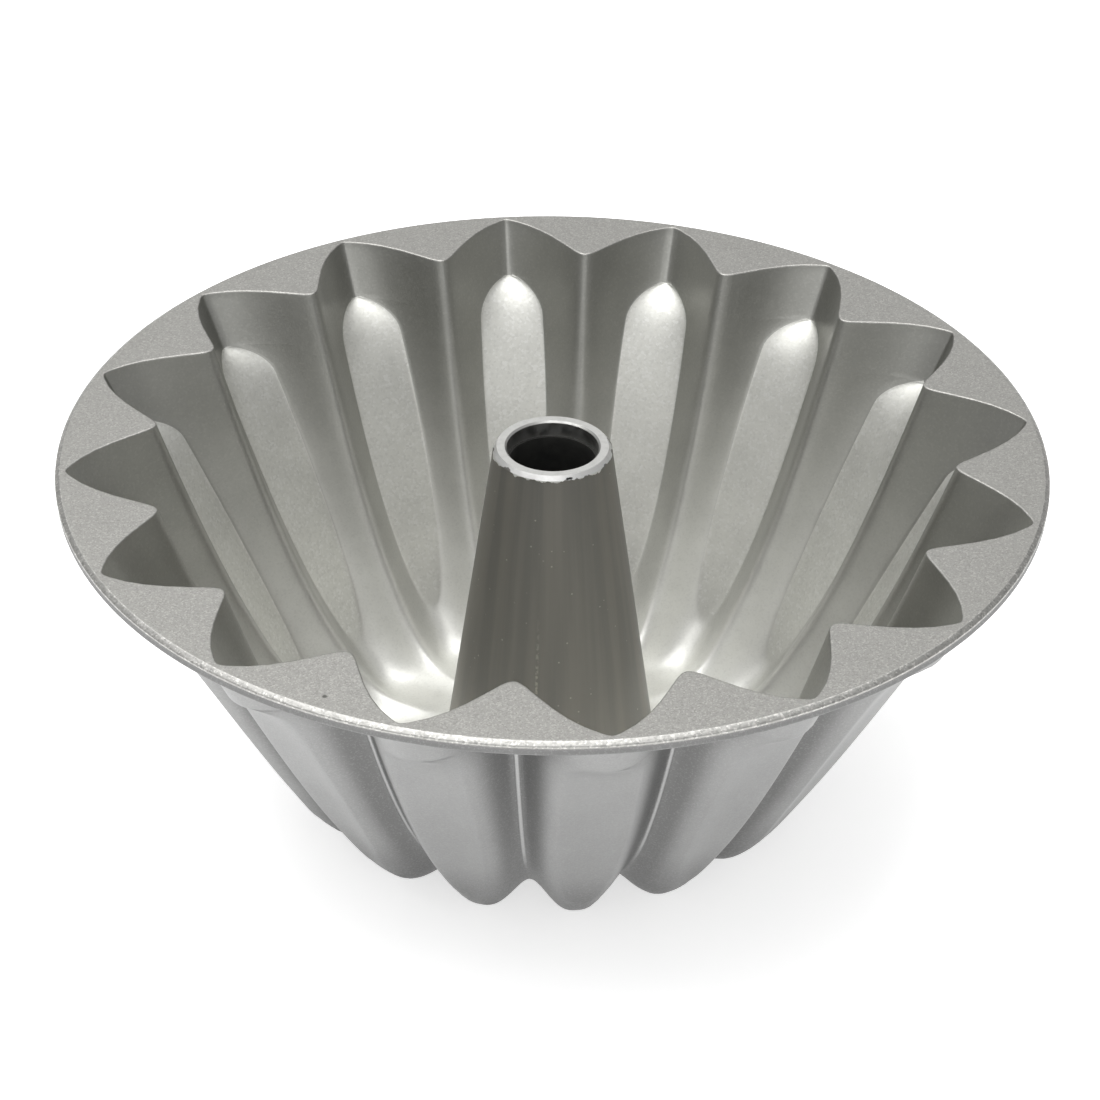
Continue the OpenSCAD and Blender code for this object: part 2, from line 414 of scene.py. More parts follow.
class NodeBoard:
    """A material's node tree, with short calls for the nodes the finishes use."""

    def __init__(self, name: str) -> None:
        """Starts a material that holds one metal shader.

        Args:
            name: Name of the material.
        """
        self.material = bpy.data.materials.new(name)
        self.material.use_nodes = True
        self.nodes = self.material.node_tree.nodes
        self.links = self.material.node_tree.links
        self.shader = self.nodes["Principled BSDF"]
        self.place = self.nodes.new("ShaderNodeTexCoord").outputs["Object"]

    def join(self, source: object, target: bpy.types.NodeSocket) -> None:
        """Links an output to an input, or sets the input to a plain value."""
        if isinstance(source, bpy.types.NodeSocket):
            self.links.new(source, target)
        else:
            target.default_value = source

    def math(self, kind: str, *values: object) -> bpy.types.NodeSocket:
        """A sum on single numbers.

        Args:
            kind: The math node's operation.
            *values: Its inputs, each an output or a number.

        Returns:
            The result.
        """
        node = self.nodes.new("ShaderNodeMath")
        node.operation = kind
        for value, socket in zip(values, node.inputs):
            self.join(value, socket)
        return node.outputs[0]

    def times(self, first: object, second: object) -> bpy.types.NodeSocket:
        """The product of two numbers."""
        return self.math("MULTIPLY", first, second)

    def plus(self, first: object, second: object) -> bpy.types.NodeSocket:
        """The sum of two numbers."""
        return self.math("ADD", first, second)

    def less(self, first: object, second: object) -> bpy.types.NodeSocket:
        """The first number less the second."""
        return self.math("SUBTRACT", first, second)

    def axes(self) -> bpy.types.bpy_prop_collection:
        """The object's own X, Y and Z, in metres."""
        split = self.nodes.new("ShaderNodeSeparateXYZ")
        self.join(self.place, split.inputs[0])
        return split.outputs

    def radius(self, x: object, y: object) -> bpy.types.NodeSocket:
        """Distance from the Z axis."""
        return self.math("SQRT", self.plus(self.times(x, x), self.times(y, y)))

    def noise(
        self, scale: float, detail: float = 2.0, where: bpy.types.NodeSocket | None = None
    ) -> bpy.types.NodeSocket:
        """Soft noise about 0.5.

        Args:
            scale: Waves per metre.
            detail: Number of finer layers.
            where: Coordinates, the object's own ones if left out.

        Returns:
            The noise.
        """
        node = self.nodes.new("ShaderNodeTexNoise")
        node.inputs["Scale"].default_value = scale
        node.inputs["Detail"].default_value = detail
        self.join(where or self.place, node.inputs["Vector"])
        return node.outputs["Fac"]

    def cells(self, scale: float) -> tuple[bpy.types.NodeSocket, bpy.types.NodeSocket]:
        """Random cells.

        Args:
            scale: Cells per metre.

        Returns:
            Distance from the middle of each cell, and a random number for each cell.
        """
        node = self.nodes.new("ShaderNodeTexVoronoi")
        node.inputs["Scale"].default_value = scale
        self.join(self.place, node.inputs["Vector"])
        split = self.nodes.new("ShaderNodeSeparateColor")
        self.join(node.outputs["Color"], split.inputs[0])
        return node.outputs["Distance"], split.outputs[0]

    def ramp(
        self, value: object, low: float, high: float, to_low: float = 0.0, to_high: float = 1.0
    ) -> bpy.types.NodeSocket:
        """Maps one range of numbers onto another, smoothly and with both ends held.

        Args:
            value: The number to map.
            low: Where its range starts.
            high: Where its range ends.
            to_low: What low becomes.
            to_high: What high becomes.

        Returns:
            The mapped number.
        """
        node = self.nodes.new("ShaderNodeMapRange")
        node.interpolation_type = "SMOOTHSTEP"
        for source, socket in zip((value, low, high, to_low, to_high), node.inputs):
            self.join(source, socket)
        return node.outputs[0]

    def mix(self, amount: object, first: object, second: object) -> bpy.types.NodeSocket:
        """A colour between two others.

        Args:
            amount: 0 for the first colour, 1 for the second.
            first: A colour or an output.
            second: A colour or an output.

        Returns:
            The mixed colour.
        """
        node = self.nodes.new("ShaderNodeMix")
        node.data_type = "RGBA"
        self.join(amount, node.inputs[0])
        for value, socket in ((first, node.inputs[6]), (second, node.inputs[7])):
            self.join((*value, 1.0) if isinstance(value, tuple) else value, socket)
        return node.outputs[2]

    def bump(self, height: object, strength: float, depth: float) -> None:
        """Raises the shader's surface by height times depth, in metres."""
        node = self.nodes.new("ShaderNodeBump")
        node.inputs["Strength"].default_value = strength
        node.inputs["Distance"].default_value = depth
        self.join(height, node.inputs["Height"])
        self.join(node.outputs["Normal"], self.shader.inputs["Normal"])

    def along_axis(self, stretch: float) -> bpy.types.NodeSocket:
        """Coordinates by direction from the Z axis and by height.

        Args:
            stretch: How strongly the height counts, per metre.

        Returns:
            A direction from the axis, with the height times stretch as its third part.
        """
        x, y, z = self.axes()
        radius = self.radius(x, y)
        join = self.nodes.new("ShaderNodeCombineXYZ")
        parts = [self.math("DIVIDE", x, radius), self.math("DIVIDE", y, radius)]
        parts.append(self.times(z, stretch))
        for part, socket in zip(parts, join.inputs):
            self.join(part, socket)
        return join.outputs[0]

    def worn_above(self, level: float) -> bpy.types.NodeSocket:
        """Where a coating has flaked off, above a ragged line round the Z axis.

        Args:
            level: Middle height of the line, in metres.

        Returns:
            0 under the line and 1 above it.
        """
        height = self.axes()[2]
        broad = self.noise(4.5, 3.5, self.along_axis(1.0))
        low = self.less(level + FLAKE_HEIGHT / 2, self.times(broad, FLAKE_HEIGHT))
        return self.ramp(self.less(height, low), -0.0001, 0.0001)


@dataclass(frozen=True)
class CoatedCasting:
    """A satin release coating with metallic fleck, over cast metal.

    Attributes:
        name: Name of the material.
        colour: The coating's own colour.
        fleck: How strongly bright and dark flecks stand out.
        fleck_scale: Flecks per metre.
        mottle: How strongly the colour drifts over a few centimetres.
        roughness: Roughness between the flecks.
        grain: Depth of the grain in metres.
        nicks: Share of the surface that carries small dark nicks.
        painted_low_colour: Colour painted in low down for how light falls there: a painted
            highlight on the inner floor, painted shade at the bottom of the outside.
        low_span: Heights between which that colour sets in, in metres.
        low_roughness: Roughness there, if it is another one.
        groove_shade_colour: Colour of painted shade in the grooves between the flutes and on the
            flange's lower lip, if it is another one; proud ribs get a painted highlight.
    """

    name: str
    colour: Colour
    fleck: float
    fleck_scale: float
    mottle: float
    roughness: float
    grain: float
    nicks: float = 0.0
    painted_low_colour: Colour | None = None
    low_span: tuple[float, float] = (0.10, 0.015)
    low_roughness: float | None = None
    groove_shade_colour: Colour | None = None

    def build(self) -> bpy.types.Material:
        """Makes the material."""
        board = NodeBoard(self.name)
        bright = tuple(min(1.0, c * 1.55) for c in self.colour)
        dark = tuple(c * 0.45 for c in self.colour)
        _, chance = board.cells(self.fleck_scale)
        sparkle = board.times(board.ramp(chance, 0.72, 0.95), self.fleck)
        shade = board.times(board.ramp(chance, 0.30, 0.06), self.fleck * 0.55)
        drift = board.times(board.ramp(board.noise(55, 4.0), 0.3, 0.7), self.mottle)
        colour = self.colour
        level = None
        # Painted shade in the grooves and on the flange's lip, and a painted highlight on the proud
        # ribs, both placed by the relief attribute.
        if self.groove_shade_colour:
            attribute = board.nodes.new("ShaderNodeAttribute")
            attribute.attribute_name = RELIEF
            relief = attribute.outputs["Fac"]
            colour = board.mix(board.ramp(relief, 0.92, 0.35), colour, self.groove_shade_colour)
            rib_highlight = tuple(c * 1.35 for c in self.colour)
            colour = board.mix(board.ramp(relief, 1.0, 1.3), colour, rib_highlight)
        # Painted light low down: lighter towards the inner floor, darker towards the outside's
        # bottom.
        if self.painted_low_colour:
            level = board.ramp(board.axes()[2], *self.low_span)
            colour = board.mix(level, colour, self.painted_low_colour)
        colour = board.mix(drift, colour, dark)
        colour = board.mix(shade, colour, dark)
        colour = board.mix(sparkle, colour, bright)
        if self.nicks:
            away, chance = board.cells(110)
            inside = board.ramp(away, 0.10, 0.05)
            chosen = board.ramp(chance, self.nicks, self.nicks * 0.8)
            spot = board.times(inside, chosen)
            colour = board.mix(board.times(spot, 0.75), colour, (0.05, 0.05, 0.045))
        board.join(colour, board.shader.inputs["Base Color"])
        grain = board.noise(self.fleck_scale * 0.8, 3.0)
        rough = board.ramp(grain, 0.25, 0.75, self.roughness - 0.05, self.roughness + 0.07)
        if self.low_roughness is not None:
            change = board.times(level, self.roughness - self.low_roughness)
            rough = board.less(rough, change)
        board.join(rough, board.shader.inputs["Roughness"])
        board.shader.inputs["Metallic"].default_value = 1.0
        board.bump(grain, 0.6, self.grain)
        return board.material


@dataclass(frozen=True)
class DrawnCoating:
    """A dark coating with upright streaks, a fine bright line and pale specks.

    Attributes:
        name: Name of the material.
        colour: The coating's own colour.
        warm: Its colour in the broad streaks.
        line_turn: Where the bright line runs, in degrees about the Z axis.
        line_top: Height at which it starts to show, in metres.
        worn_from: Height above which the metal is bare, in metres.
        bare: Colour of the bare metal, painted far lighter than the ring's turned face as a painted
            highlight.
    """

    name: str
    colour: Colour = TUBE_COAT
    warm: Colour = (0.315, 0.303, 0.278)
    line_turn: float = -99.0
    line_top: float = 0.072
    worn_from: float = WORN_FROM
    bare: Colour = LIT_BARE_METAL

    def build(self) -> bpy.types.Material:
        """Makes the material."""
        board = NodeBoard(self.name)
        streak_place = board.along_axis(1.6)
        streak = board.noise(5.0, 3.0, streak_place)
        fine = board.noise(24.0, 2.0, streak_place)
        colour = board.mix(board.ramp(streak, 0.35, 0.65), self.colour, self.warm)
        pale = tuple(c * 1.35 for c in self.colour)
        colour = board.mix(board.times(board.ramp(fine, 0.50, 0.75), 0.12), colour, pale)
        away, chance = board.cells(900)
        speck = board.times(board.ramp(away, 0.30, 0.12), board.ramp(chance, 0.965, 0.985))
        colour = board.mix(board.times(speck, 0.7), colour, (0.62, 0.60, 0.52))
        colour = board.mix(self.line(board), colour, (0.50, 0.48, 0.42))
        colour = board.mix(board.worn_above(self.worn_from), colour, self.bare)
        board.join(colour, board.shader.inputs["Base Color"])
        both = board.plus(streak, board.times(fine, 0.5))
        board.join(board.ramp(both, 0.5, 1.0, 0.42, 0.50), board.shader.inputs["Roughness"])
        board.shader.inputs["Metallic"].default_value = 1.0
        board.bump(board.plus(fine, streak), 0.12, 0.00006)
        return board.material

    def line(self, board: NodeBoard) -> bpy.types.NodeSocket:
        """How far a place lies on the broken bright line that runs down the cone."""
        x, y, z = board.axes()
        turn = math.radians(self.line_turn)
        aside = board.less(board.times(x, math.sin(turn)), board.times(y, math.cos(turn)))
        along = board.plus(board.times(x, math.cos(turn)), board.times(y, math.sin(turn)))
        near = board.ramp(board.math("ABSOLUTE", aside), 0.0006, 0.0001)
        front = board.math("GREATER_THAN", along, 0.0)
        low = board.ramp(z, self.line_top, self.line_top - 0.025)
        broken = board.ramp(board.noise(900, 2.0), 0.42, 0.66)
        return board.times(board.times(near, front), board.times(low, broken))


@dataclass(frozen=True)
class ShadedInside:
    """The rough inside of the tube, painted near-black as painted shade for the shadowed hollow."""

    name: str = "tube_inside_shade"
    colour: Colour = (0.010, 0.010, 0.009)

    def build(self) -> bpy.types.Material:
        """Makes the material."""
        board = NodeBoard(self.name)
        cloud = board.noise(240, 4.0)
        lighter = tuple(c * 2.2 for c in self.colour)
        colour = board.mix(board.ramp(cloud, 0.3, 0.7), self.colour, lighter)
        board.join(colour, board.shader.inputs["Base Color"])
        board.shader.inputs["Roughness"].default_value = 0.8
        board.bump(cloud, 0.5, 0.0002)
        return board.material


@dataclass(frozen=True)
class TurnedMetal:
    """Bare metal with fine rings from the lathe, and a few dull spots.

    Attributes:
        name: Name of the material.
        colour: The metal's own colour.
        roughness: Its middle roughness.
        rings: Rings per metre.
        worn_from: Height up to which the tube's coating covers it, or 0 for no coating.
        coat: Colour of that coating.
        nick: Where the edge is nicked: degrees about the Z axis, and height in metres.
        nick_stretch: How much longer than high the nick is, per metre of radius.
    """

    name: str
    colour: Colour = (0.60, 0.60, 0.58)
    roughness: float = 0.38
    rings: float = 2600.0
    worn_from: float = 0.0
    coat: Colour = TUBE_COAT
    nick: tuple[float, float] = (-73.6, 0.1092)
    nick_stretch: float = 240.0

    def build(self) -> bpy.types.Material:
        """Makes the material."""
        board = NodeBoard(self.name)
        x, y, z = board.axes()
        join = board.nodes.new("ShaderNodeCombineXYZ")
        board.join(board.radius(x, y), join.inputs[0])
        board.join(z, join.inputs[2])
        rings = board.noise(self.rings, 2.0, join.outputs[0])
        wear = board.noise(420, 3.0)
        dull = tuple(c * 0.88 for c in self.colour)
        colour = board.mix(board.ramp(wear, 0.40, 0.75), self.colour, dull)
        if self.worn_from:
            colour = board.mix(board.worn_above(self.worn_from), self.coat, colour)
            colour = board.mix(self.dent(board), colour, (0.05, 0.05, 0.05))
        board.join(colour, board.shader.inputs["Base Color"])
        board.join(
            board.ramp(wear, 0.3, 0.7, self.roughness - 0.06, self.roughness + 0.08),
            board.shader.inputs["Roughness"],
        )
        board.shader.inputs["Metallic"].default_value = 1.0
        board.bump(board.plus(rings, board.times(wear, 0.5)), 0.5, 0.00006)
        return board.material

    def dent(self, board: NodeBoard) -> bpy.types.NodeSocket:
        """How far a place lies in the small dark nick on the edge."""
        turn = math.radians(self.nick[0])
        gap = board.nodes.new("ShaderNodeVectorMath")
        gap.operation = "DISTANCE"
        board.join(board.along_axis(self.nick_stretch), gap.inputs[0])
        middle = (math.cos(turn), math.sin(turn), self.nick[1] * self.nick_stretch)
        gap.inputs[1].default_value = middle
        worn = board.plus(gap.outputs["Value"], board.times(board.noise(900, 2.0), 0.10))
        return board.ramp(worn, 0.118, 0.092)


@dataclass(frozen=True)
class PaleFloor:
    """A matt white sheet, lit a little from below."""

    name: str = "pale_floor"
    colour: Colour = (0.92, 0.92, 0.92)
    glow: float = 0.60

    def build(self) -> bpy.types.Material:
        """Makes the material."""
        board = NodeBoard(self.name)
        drift = board.ramp(board.noise(3.0), 0.3, 0.7)
        colour = board.mix(drift, self.colour, tuple(c * 0.99 for c in self.colour))
        board.join(colour, board.shader.inputs["Base Color"])
        board.shader.inputs["Emission Color"].default_value = (1, 1, 1, 1)
        board.shader.inputs["Emission Strength"].default_value = self.glow
        board.shader.inputs["Roughness"].default_value = 0.9
        board.shader.inputs["Specular IOR Level"].default_value = 0.1
        return board.material


class Slot(Enum):
    """The record's material slots."""

    CASTING = "coated_casting"
    TUBE = "dark_coating"
    RING = "turned_metal"


@dataclass(frozen=True)
class Finishes:
    """The finishes of the pan's pieces."""

    lining: CoatedCasting = CoatedCasting(
        name="lining",
        colour=(0.41, 0.41, 0.385),
        fleck=0.12,
        fleck_scale=1900,
        mottle=0.14,
        roughness=0.37,
        grain=0.00004,
        # Painted highlight: the lining turns lighter towards the channels' floor.
        painted_low_colour=(0.68, 0.68, 0.65),
        low_span=(0.10, 0.015),
        low_roughness=0.50,
    )
    flange: CoatedCasting = CoatedCasting(
        name="flange_coating",
        colour=(0.385, 0.38, 0.36),
        fleck=0.45,
        fleck_scale=2700,
        mottle=0.05,
        roughness=0.42,
        grain=0.00008,
        nicks=0.035,
    )
    outside: CoatedCasting = CoatedCasting(
        name="outer_coating",
        colour=(0.335, 0.335, 0.332),
        fleck=0.13,
        fleck_scale=2700,
        mottle=0.10,
        roughness=0.42,
        grain=0.00005,
        # Painted shade: the outside turns darker towards its bottom.
        painted_low_colour=(0.12, 0.12, 0.118),
        low_span=(0.036, -0.002),
        # Painted shade in the grooves between the flutes.
        groove_shade_colour=(0.19, 0.19, 0.187),
    )
    # The leaves: the lining's coating painted much lighter, a painted highlight for the light their
    # faces catch; rougher too.
    leaf: CoatedCasting = CoatedCasting(
        name="leaf_lit_coating",
        colour=(0.77, 0.77, 0.73),
        fleck=0.20,
        fleck_scale=1400,
        mottle=0.16,
        roughness=0.52,
        grain=0.00006,
        # Towards its foot the leaf fades to the lining's painted-highlight floor colour.
        painted_low_colour=(0.68, 0.68, 0.65),
        low_span=(0.034, 0.0135),
        low_roughness=0.50,
    )
    # The rim's bead: the flange's coating with coarser sparkle, painted lighter as a painted
    # highlight along the rolled edge.
    bead: CoatedCasting = CoatedCasting(
        name="bead_lit_coating",
        colour=(0.46, 0.455, 0.435),
        fleck=0.7,
        fleck_scale=1900,
        mottle=0.0,
        roughness=0.44,
        grain=0.00012,
    )
    tube: DrawnCoating = DrawnCoating("tube_coating")
    # Painted shade: the tube's inside is near-black where the hollow lies in shadow.
    inside: ShadedInside = ShadedInside()
    # Painted highlight: the ring's chamfer and the tube's bare top are the ring's metal painted
    # much lighter.
    lit_ring_edge: TurnedMetal = TurnedMetal("turned_edge_lit", LIT_BARE_METAL, 0.36, worn_from=WORN_FROM)
    ring: TurnedMetal = TurnedMetal("turned_face")


def attach(
    piece: bpy.types.Object, node: str, slot: Slot, materials: Sequence[bpy.types.Material]
) -> None:
    """Dresses a piece and ties it to the frame.

    Args:
        piece: The finished piece.
        node: The CAD node that it stands for.
        slot: The record's slot for its finish; not used.
        materials: Its materials, in the order of their indices.
    """
    for material in materials:
        piece.data.materials.append(material)
    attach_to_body(piece, "root")
    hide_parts(node)
    LOG.info("%s: %d faces in place of %s", piece.name, len(piece.data.polygons), node)


# ---- the shell ----


@dataclass
class FlutedShell:
    """The cast shell: wall, floor and rim flange.

    Lengths are in millimetres.
    """

    rule: FluteRule
    wall: float = 1.8
    ridge_backing: float = 0.6
    foot_backing: float = 1.4
    flange: float = 3.6
    seat_r: float = 29.0
    mouth_radius: float = 0.45
    bead_radius: float = 1.45
    web_radius: float = 1.3
    rib_height: float = 0.35
    rib_width: float = 0.55
    # How proud the ribs and the flange's lower lip count: they set the painted highlight on the
    # ribs and the painted shade on the lip.
    rib_relief: float = 1.4
    lip_relief: float = 0.5
    lip_from: int = 8
    leaf_end: float = 0.985
    inner_soft: Softness = Softness(crease=0.22, tooth=0.18, leaf=0.5)
    outer_soft: Softness = Softness(crease=1.8, tooth=0.2, leaf=1.4, bowl=1.85)
    rows: list[np.ndarray] = field(default_factory=list)
    zones: list[np.ndarray] = field(default_factory=list)
    relief: list[np.ndarray] = field(default_factory=list)

    class Zone(Enum):
        """Parts of the shell's surface that take their own materials: real changes of finish, and
        on the leaves and the bead, painted light.
        """

        LINING = 0
        FLANGE = 1
        OUTSIDE = 2
        LEAF = 3
        BEAD = 4

    def add(
        self,
        rows: np.ndarray,
        zone: "FlutedShell.Zone",
        s: np.ndarray | None = None,
        relief: np.ndarray | None = None,
    ) -> None:
        """Adds rows of points to the mesh, and the zones of the faces that start at them.

        Args:
            rows: Points by row, round the pan and by X, Y and Z.
            zone: Zone of the faces.
            s: Places of the rows, if the leaves on them are a zone of their own.
            relief: How far each point stands proud, 1 if left out.
        """
        columns = np.arange(rows.shape[1]) % (rows.shape[1] // self.rule.flutes)
        middle = np.minimum(columns, columns.max() - columns) < self.rule.leaf_columns
        for i, row in enumerate(rows):
            near = [] if s is None else s[max(i - 1, 0) : i + 2]
            leafy = len(near) > 0 and self.rule.leaf_top < min(near) and s[i] < self.leaf_end
            self.rows.append(row)
            self.zones.append(np.where(middle & leafy, self.Zone.LEAF.value, zone.value))
            self.relief.append(np.ones(len(row)) if relief is None else relief[i])

    def level_row(self, r: float, h: float) -> np.ndarray:
        """One round row at a radius and a height, with the hub's columns."""
        a = self.rule.columns(np.array([2.0]))
        return self.rule.ring(0 * a + r, 0 * a + h, a)

    def inner_rows(self, s: np.ndarray) -> np.ndarray:
        """Rows on the inner face."""
        a = self.rule.columns(s)
        r, h = self.rule.face(s, a, self.inner_soft)
        return self.rule.ring(r, h, a)

    def outer_rows(self, s: np.ndarray) -> np.ndarray:
        """Rows on the outer face: the inner one moved out by the wall's thickness.

        Args:
            s: Places, one for each row.

        Returns:
            Points by row, round the pan and by X, Y and Z.
        """
        rule = self.rule
        a = rule.columns(s)
        step = 0.004
        r, h = rule.face(s, a, self.outer_soft)
        r1, h1 = rule.face(s - step, a, self.outer_soft)
        r2, h2 = rule.face(s + step, a, self.outer_soft)
        dr, dh = r2 - r1, h2 - h1
        length = np.hypot(dr, dh)
        share = rule.flank(s, a, self.outer_soft)
        foot = self.foot_backing * np.sin(np.pi * np.clip(s - 1, 0, 1))[:, None] * share
        ridge = self.ridge_backing * np.clip(1 - s, 0, 1)[:, None] * (1 - share)
        thick = self.wall + foot + ridge
        fade = smooth_step(s / 0.04)[:, None] * self.rib_fade(s)
        rib = self.rib_height * self.rib_shape(a, r) * fade
        r = r - thick * dh / length + rib
        h = h + thick * dr / length
        return rule.ring(np.minimum(r, rule.rim_r - self.bead_radius), np.maximum(h, 0), a)

    def outer_relief(self, s: np.ndarray) -> np.ndarray:
        """How far each point of the outer rows stands proud of the grooves between the flutes,
        which places the painted shade and the painted highlight.
        """
        rule = self.rule
        a = rule.columns(s)
        r, _ = rule.face(s, a, self.outer_soft)
        low = rule.meridian(s, False)[:, :1]
        high = r.max(axis=1, keepdims=True)
        share = (r - low) / np.maximum(high - low, 0.1)
        share = np.where(s[:, None] > 1, rule.flank(s, a, self.outer_soft), share)
        rib = self.rib_relief * self.rib_shape(a, r) * self.rib_fade(s)
        return np.tile(np.maximum(share, rib), (1, rule.flutes))

    def rib_shape(self, a: np.ndarray, r: np.ndarray) -> np.ndarray:
        """Height of the rib across its width, 1 at its middle, at angles a and radii r."""
        aside = np.radians(self.rule.half_pitch - self.rule.near(a)) * r
        return np.exp(-((aside / self.rib_width) ** 4))

    def rib_fade(self, s: np.ndarray) -> np.ndarray:
        """How the rib dies away towards the foot, as one column."""
        return smooth_step((0.98 - s) / 0.25)[:, None]

    def mouth_rows(self) -> np.ndarray:
        """Rows over the rounded edge of the mouth, and across the flange to its bead."""
        rule = self.rule
        base = self.inner_rows(rule.share([self.mouth_radius]))[0]
        out = outline_normals(base)
        rows = []
        for turn in np.radians([30, 60, 90]):
            row = base + out * self.mouth_radius * (1 - math.cos(turn))
            row[:, 2] = rule.rim_h - self.mouth_radius * (1 - math.sin(turn))
            rows.append(row)
        edge = rows[-1].copy()
        edge[:, :2] *= (rule.rim_r - self.bead_radius) / np.hypot(edge[:, 0], edge[:, 1])[:, None]
        rows += [rows[2] + (edge - rows[2]) * k for k in (0.03, 0.5, 0.97)]
        return np.array(rows)

    def edge_rows(self) -> np.ndarray:
        """Rows over the rim's bead, the groove under it and the lower lip."""
        rule = self.rule
        r, top, bottom = rule.rim_r, rule.rim_h, rule.rim_h - self.flange
        bead = arc((r - 1.445, top - 0.5), 0.5, 90, 57, 2)
        bead += arc((r - 0.55, top - 1.14), 0.55, 57, -25, 4)
        groove = [(r - 0.45, top - 1.9), (r - 0.4, bottom + 1.0)]
        lip = arc((r - 0.57, bottom + 0.42), 0.42, 12, -90, 5)
        a = rule.columns(rule.share([0.5]))
        rows = [rule.ring(0 * a + pr, 0 * a + ph, a)[0] for pr, ph in [*bead, *groove, *lip]]
        return np.array(rows)

    def web_rows(self) -> np.ndarray:
        """Rows under the flange, and down the fillet that joins it to the wall."""
        rule = self.rule
        drop = self.flange + self.web_radius
        base = self.outer_rows(rule.share([drop]))[0]
        out = outline_normals(base)
        rows = []
        for turn in np.radians([90, 65, 40, 18]):
            row = base + out * self.web_radius * (1 - math.cos(turn))
            row[:, 2] = rule.rim_h - drop + self.web_radius * math.sin(turn)
            rows.append(row)
        return np.array(rows)

    def build(self) -> bpy.types.Object:
        """Makes the closed mesh, from the seat up the inner face and down the outer one."""
        rule = self.rule
        drops_in = [
            *np.linspace(self.mouth_radius, 14.0, 8),
            *(15 + 13 * np.linspace(0, 1, 16) ** 2),
            *np.linspace(28, 86, 23)[1:],
            *np.linspace(86, rule.wall_drop, 9)[1:],
        ]
        inner_s = np.concatenate([rule.share(drops_in), np.linspace(1, 2, 23)[1:]])
        drops_out = [
            *np.linspace(self.flange + self.web_radius, 13.5, 5),
            *(14.5 + 13 * np.linspace(0, 1, 10) ** 2),
            *np.linspace(27.5, 86, 16)[1:],
            *np.linspace(86, rule.wall_drop, 6)[1:],
        ]
        outer_s = np.concatenate([rule.share(drops_out), np.linspace(1, 2, 17)[1:]])
        self.add(self.level_row(self.seat_r, rule.hub[1]), self.Zone.LINING)
        self.add(self.inner_rows(inner_s[::-1]), self.Zone.LINING, inner_s[::-1])
        self.add(self.mouth_rows(), self.Zone.FLANGE)
        edge = self.edge_rows()
        bead, lip = edge[: self.lip_from], edge[self.lip_from :]
        self.add(bead, self.Zone.BEAD)
        self.add(lip, self.Zone.OUTSIDE, relief=np.full(lip.shape[:2], self.lip_relief))
        self.add(self.web_rows(), self.Zone.OUTSIDE)
        self.add(self.outer_rows(outer_s), self.Zone.OUTSIDE, relief=self.outer_relief(outer_s))
        self.add(self.level_row(self.seat_r, rule.hub[1] - self.wall), self.Zone.OUTSIDE)
        rows, zones, relief = (np.array(part) for part in (self.rows, self.zones, self.relief))
        return closed_mesh("pan_shell", rows, zones, relief)


# ---- the tube and its ring ----


@dataclass
class Turning:
    """A closed body turned about the pan's axis, in millimetres.

    Attributes:
        name: Name of the piece.
        outline: Its section as radius and height, anticlockwise.
        change_at: Place in the outline from which the second material is used, if any.
        steps: Number of points round the axis.
    """

    name: str
    outline: list[tuple[float, float]]
    change_at: int | None = None
    steps: int = 256

    def rows(self) -> np.ndarray:
        """Points by place on the outline, round the axis and by X, Y and Z."""
        turn = np.linspace(0, 2 * math.pi, self.steps, endpoint=False)
        profile = np.asarray(self.outline)
        r = np.repeat(profile[:, :1], self.steps, axis=1)
        h = np.repeat(profile[:, 1:], self.steps, axis=1)
        return np.stack([r * np.cos(turn), r * np.sin(turn), h], axis=2)

    def build(self) -> bpy.types.Object:
        """Makes the closed mesh."""
        rows = self.rows()
        first = len(rows) if self.change_at is None else self.change_at
        second = np.arange(len(rows)) >= first
        return closed_mesh(self.name, rows, np.repeat(second[:, None], self.steps, axis=1))


def between(start: Point, end: Point, steps: int) -> list[Point]:
    """Points on a straight line, its first one included and its last one left out.

    Args:
        start: Radius and height of the first point.
        end: Where the line ends.
        steps: Number of pieces it is cut into.

    Returns:
        As many points as steps.
    """
    dr, dh = end[0] - start[0], end[1] - start[1]
    return [(start[0] + dr * k, start[1] + dh * k) for k in np.arange(steps) / steps]


@dataclass
class CentreTube:
    """The dark hollow cone under the top ring, in millimetres."""

    rim_h: float
    foot: tuple[float, float] = (30.2, 7.4)
    top_r: float = 16.2
    flare: float = 2.6
    seat_r: float = 29.0
    shell: float = 3.0
    floor: float = 1.8
    spigot_r: float = 14.2
    neck_r: float = 11.8
    neck_length: float = 2.0
    taper_drop: float = 8.0
    ledge_drop: float = 4.6
    shoulder_drop: float = 1.5

    def outline(self) -> list[tuple[float, float]]:
        """The tube's section."""
        foot_r, foot_h = self.foot
        ledge_h = self.rim_h - self.ledge_drop
        shoulder_h = self.rim_h - self.shoulder_drop
        low_h = foot_h - self.floor
        inner_foot = (self.seat_r - self.shell, low_h)
        flare = arc((foot_r + self.flare, foot_h + self.flare), self.flare, 270, 180, 6)
        return [
            (self.seat_r, low_h),
            (self.seat_r, foot_h),
            *flare,
            *between(flare[-1], (self.top_r, shoulder_h), 30)[1:],
            (self.top_r, shoulder_h),
            (self.spigot_r, shoulder_h),
            (self.spigot_r, ledge_h),
            (self.neck_r, ledge_h),
            (self.neck_r, ledge_h - self.neck_length),
            *between((self.top_r - self.shell, ledge_h - self.taper_drop), inner_foot, 12),
            inner_foot,
        ]

    def build(self) -> bpy.types.Object:
        """Makes the closed mesh, with painted shade from the spigot's seat inwards."""
        outline = self.outline()
        seat = outline.index((self.spigot_r, self.rim_h - self.ledge_drop))
        return Turning("centre_cone", outline, seat).build()


